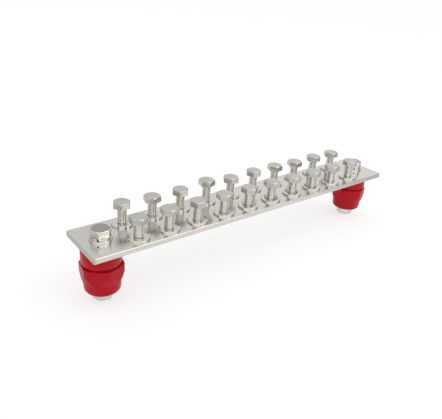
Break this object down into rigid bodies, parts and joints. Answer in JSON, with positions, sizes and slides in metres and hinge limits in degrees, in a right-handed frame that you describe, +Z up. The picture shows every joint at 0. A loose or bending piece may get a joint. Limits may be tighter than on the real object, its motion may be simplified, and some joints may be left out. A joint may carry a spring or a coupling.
{
  "type": "earth terminal bar",
  "caption": "Tinned copper earth bar on two red moulded standoffs, with two rows of hexagon-head screws and washers for earthing lugs.",
  "frame": {"origin": "on the surface that the bar stands on, under the middle of the bar", "axes": "+X along the bar to its right-hand end, +Y towards the back row of screws, +Z up"},
  "size_m": [0.434, 0.065, 0.0964],
  "materials": {
    "tinned_copper": "bright tin plating, a slightly blurred mirror",
    "plated_screw": "bright plated steel",
    "plated_washer": "bright plated steel, flat ground",
    "red_moulding": "satin moulded polyester",
    "brass_insert": "turned"
  },
  "bodies": {
    "root": {"bar": "tinned_copper", "back_screw_1": "plated_screw", "back_screw_2": "plated_screw", "back_screw_3": "plated_screw", "back_screw_4": "plated_screw", "back_screw_5": "plated_screw", "back_screw_6": "plated_screw", "back_screw_7": "plated_screw", "back_screw_8": "plated_screw", "back_screw_9": "plated_screw", "back_screw_10": "plated_screw", "front_screw_1": "plated_screw", "front_screw_2": "plated_screw", "front_screw_3": "plated_screw", "front_screw_4": "plated_screw", "front_screw_5": "plated_screw", "front_screw_6": "plated_screw", "front_screw_7": "plated_screw", "front_screw_8": "plated_screw", "front_screw_9": "plated_screw", "front_screw_10": "plated_screw", "back_washer_1": "plated_washer", "back_washer_2": "plated_washer", "back_washer_3": "plated_washer", "back_washer_4": "plated_washer", "back_washer_5": "plated_washer", "back_washer_6": "plated_washer", "back_washer_7": "plated_washer", "back_washer_8": "plated_washer", "back_washer_9": "plated_washer", "back_washer_10": "plated_washer", "front_washer_1": "plated_washer", "front_washer_2": "plated_washer", "front_washer_3": "plated_washer", "front_washer_4": "plated_washer", "front_washer_5": "plated_washer", "front_washer_6": "plated_washer", "front_washer_7": "plated_washer", "front_washer_8": "plated_washer", "front_washer_9": "plated_washer", "front_washer_10": "plated_washer", "left_insulator": "red_moulding", "left_upper_insert": "brass_insert", "left_lower_insert": "brass_insert", "left_standoff_bolt": "plated_screw", "left_spring_washer": "plated_washer", "left_flat_washer": "plated_washer", "left_base_bolt": "plated_screw", "left_base_spring_washer": "plated_washer", "right_insulator": "red_moulding", "right_upper_insert": "brass_insert", "right_lower_insert": "brass_insert", "right_standoff_bolt": "plated_screw", "right_spring_washer": "plated_washer", "right_flat_washer": "plated_washer", "right_base_bolt": "plated_screw", "right_base_spring_washer": "plated_washer"}
  },
  "joints": []
}
